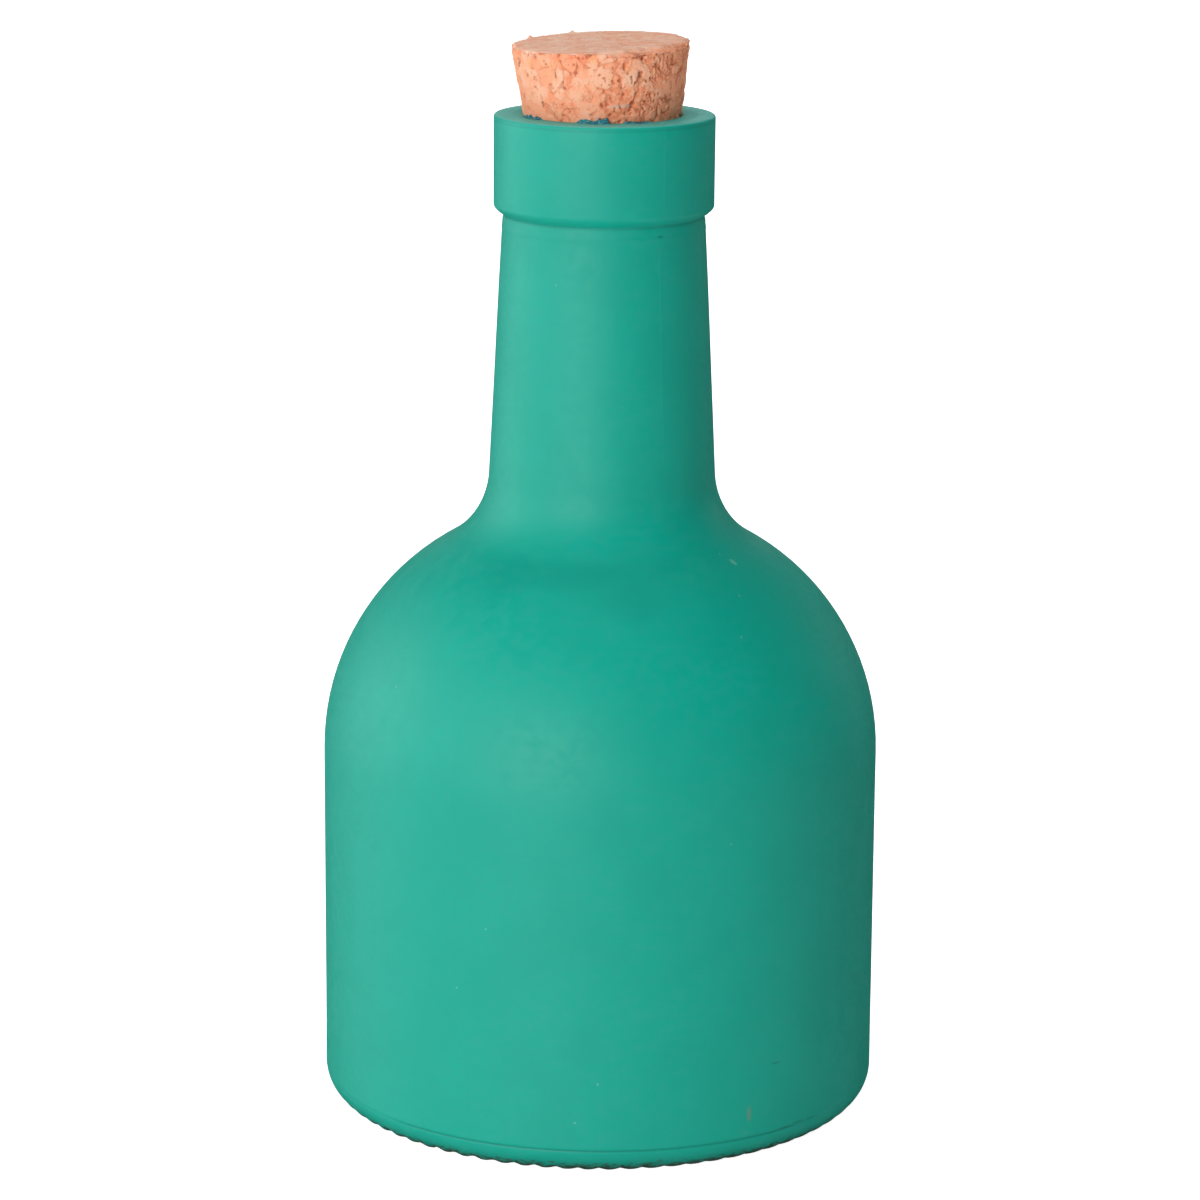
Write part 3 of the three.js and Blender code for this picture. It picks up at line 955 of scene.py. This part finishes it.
def cork_side_tint(nodes, place, grain, fine, patchy):
    """The granules, yellower towards the top and redder at the foot, with cracks, pits and marks."""
    azimuth, radius, height = around_axis(nodes, place)
    uneven_height = nodes.weighted((nodes.math("SUBTRACT", patchy, 0.5), 2.5), offset=height)
    uneven = (azimuth, radius, uneven_height)
    pale = spots(nodes, uneven, PALE_GRANULES, softness=0.5)
    hollow = spots(nodes, uneven, CORK_HOLLOWS, softness=0.9)
    sliver = spots(nodes, (azimuth, radius, height), PALE_SLIVER, softness=0.6)
    yellow_patches = nodes.fade(nodes.noise(place, 1.5), 0.5, 0.68)
    yellow = nodes.math("MULTIPLY", yellow_patches, nodes.fade(height, 3, 8))
    speckled = nodes.weighted((grain["crumbly"], 0.05), offset=nodes.noise(place, 0.3))

    tint = granule_tint(nodes, grain, fine, patchy)
    tint = nodes.layer(tint, PALE_CORK, pale, strength=0.75)
    tint = nodes.layer(tint, YELLOW_CORK, yellow, strength=0.45)
    tint = nodes.layer(tint, RED_CORK, nodes.fade(height, 4.5, 0.3), strength=0.4)
    tint = nodes.layer(tint, CRACK_BROWN, grain["crack"], strength=0.6)
    tint = nodes.layer(tint, CRACK_BROWN, nodes.fade(speckled, 0.6, 0.7), strength=0.5)
    tint = nodes.layer(tint, PIT_BROWN, grain["pit"], strength=0.55)
    tint = nodes.layer(tint, PIT_BROWN, nodes.math("MULTIPLY", hollow, fine), strength=1.3)
    return nodes.layer(tint, SLIVER, nodes.math("MULTIPLY", sliver, fine), strength=1.1)


def cork_top_tint(nodes, place, grain, patchy):
    """The cork's pale sawn top, with dashes along the saw marks."""
    streaked = nodes.noise(place, 0.7, detail=3, stretch=(0.3, 1.8, 1))
    tone = nodes.weighted((streaked, 0.6), (patchy, 0.8), (grain["granule"], 0.25))
    dashes = nodes.fade(nodes.noise(place, 0.45, stretch=(0.45, 1.2, 1)), 0.59, 0.68)
    tint = nodes.mix(nodes.fade(tone, 0.7, 1.0), PALE_TOP, DARK_TOP)
    tint = nodes.layer(tint, TOP_DASH, dashes, strength=0.6)
    return nodes.layer(tint, TOP_DASH, grain["crack"], strength=0.3)


def cork_material():
    """Pressed cork, coloured by the shares that its mesh carries."""
    nodes = Nodes("cork")
    place = nodes.place()
    names = ("granule", "crumb", "crumbly", "crack", "pit", "top")
    grain = {name: nodes.attribute(name) for name in names}
    fine = nodes.noise(place, 0.28, detail=3)
    patchy = nodes.noise(place, 1.1, detail=3)
    side = cork_side_tint(nodes, place, grain, fine, patchy)
    top = cork_top_tint(nodes, place, grain, patchy)
    nodes.finish(nodes.layer(side, top, grain["top"], strength=0.85), roughness=0.92, gloss=0.2)
    nodes.set(nodes.shader.inputs["Sheen Weight"], 0.12)
    nodes.set(nodes.shader.inputs["Sheen Tint"], WARM_SHEEN)
    relief = nodes.math("ADD", fine, nodes.noise(place, 0.15))
    nodes.bump(relief, strength=0.6, depth=0.08)
    return nodes.material


# Surroundings

def make_camera():
    """The camera, at the place and with the view that the photograph shows."""
    data = bpy.data.cameras.new("camera")
    data.sensor_width = SENSOR_WIDTH
    data.lens = CAMERA_LENS
    data.clip_start = CAMERA_NEAREST * MM
    camera = bpy.data.objects.new("camera", data)
    turned = Matrix.Rotation(math.pi / 2 - CAMERA_PITCH, 4, "X") @ Matrix.Rotation(CAMERA_ROLL, 4, "Z")
    camera.matrix_world = Matrix.Translation(Vector(CAMERA_PLACE) * MM) @ turned
    bpy.context.scene.collection.objects.link(camera)
    bpy.context.scene.camera = camera


def make_lamp(name, azimuth, elevation, size, power, glossy=True, diffuse=True):
    """A square soft lamp that faces the middle of the bottle, for gloss, for shading or for both.

    Its angles are in degrees, its size in metres and its power in watts.
    """
    data = bpy.data.lights.new(name, "AREA")
    data.shape = "SQUARE"
    data.size = size
    data.energy = power
    lamp = bpy.data.objects.new(name, data)
    turn = math.radians(azimuth)
    lift = math.radians(elevation)
    towards = Vector((math.cos(lift) * math.sin(turn), -math.cos(lift) * math.cos(turn), math.sin(lift)))
    lamp.location = Vector((0, 0, LIP_HEIGHT * MM / 2)) + LAMP_DISTANCE * towards
    lamp.rotation_euler = towards.to_track_quat("Z", "Y").to_euler()
    lamp.visible_camera = False
    lamp.visible_glossy = glossy
    lamp.visible_diffuse = diffuse
    bpy.context.scene.collection.objects.link(lamp)


def whiter_when_seen(tree, socket, given, added):
    """Sets a strength that is higher where it is seen directly than where it lights something."""
    seen = tree.nodes.new("ShaderNodeLightPath").outputs["Is Camera Ray"]
    total = tree.nodes.new("ShaderNodeMath")
    total.operation = "MULTIPLY_ADD"
    tree.links.new(seen, total.inputs[0])
    total.inputs[1].default_value = added
    total.inputs[2].default_value = given
    tree.links.new(total.outputs[0], socket)


def make_surround():
    """An even pale surround that shows nearly white."""
    world = bpy.data.worlds.new("surround")
    world.use_nodes = True
    background = world.node_tree.nodes["Background"]
    background.inputs["Color"].default_value = WHITE
    whiter_when_seen(world.node_tree, background.inputs["Strength"], AMBIENT, WHITER_SURROUND)
    bpy.context.scene.world = world
    world.cycles_visibility.glossy = False


def make_floor():
    """A pale floor that shows as white as the surround."""
    half = FLOOR_SIZE / 2
    corners = np.array([(-half, -half, 0), (half, -half, 0), (half, half, 0), (-half, half, 0)], float)
    floor = mesh_object("floor", corners, [(0, 1, 2, 3)])
    nodes = Nodes("floor")
    nodes.finish(FLOOR_WHITE, roughness=1.0, gloss=0.0)
    nodes.set(nodes.shader.inputs["Emission Color"], WHITE)
    whiter_when_seen(nodes.tree, nodes.shader.inputs["Emission Strength"], FLOOR_LIGHT, WHITER_FLOOR)
    floor.visible_glossy = False
    floor.data.materials.append(nodes.material)


def make_lamps():
    """The key light at the front left, and weaker ones at the left, above and behind."""
    make_lamp("key_lamp", azimuth=-26, elevation=8, size=0.9, power=14.3)
    make_lamp("side_lamp", azimuth=-105, elevation=8, size=0.9, power=2.7)
    make_lamp("top_lamp", azimuth=0, elevation=89, size=0.7, power=7.0, glossy=False)
    make_lamp("back_left_lamp", azimuth=-138, elevation=6, size=0.8, power=3.5, glossy=False)
    make_lamp("back_right_lamp", azimuth=138, elevation=4, size=0.8, power=5.6, glossy=False)
    make_lamp("back_lamp", azimuth=180, elevation=20, size=0.8, power=1.6)
    make_lamp("sheen_lamp", azimuth=-90, elevation=6, size=1.4, power=11.0, diffuse=False)


bpy.context.scene.view_settings.view_transform = "Standard"
make_camera()
make_surround()
make_floor()
make_lamps()
bottle = make_bottle()
bottle.data.materials.append(coating_material())
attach(bottle, "root")
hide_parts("bottle")

torn = make_torn_coating()
torn.data.materials.append(torn_material())
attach(torn, "root")

cork = make_cork()
cork.data.materials.append(cork_material())
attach(cork, "root")
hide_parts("cork")
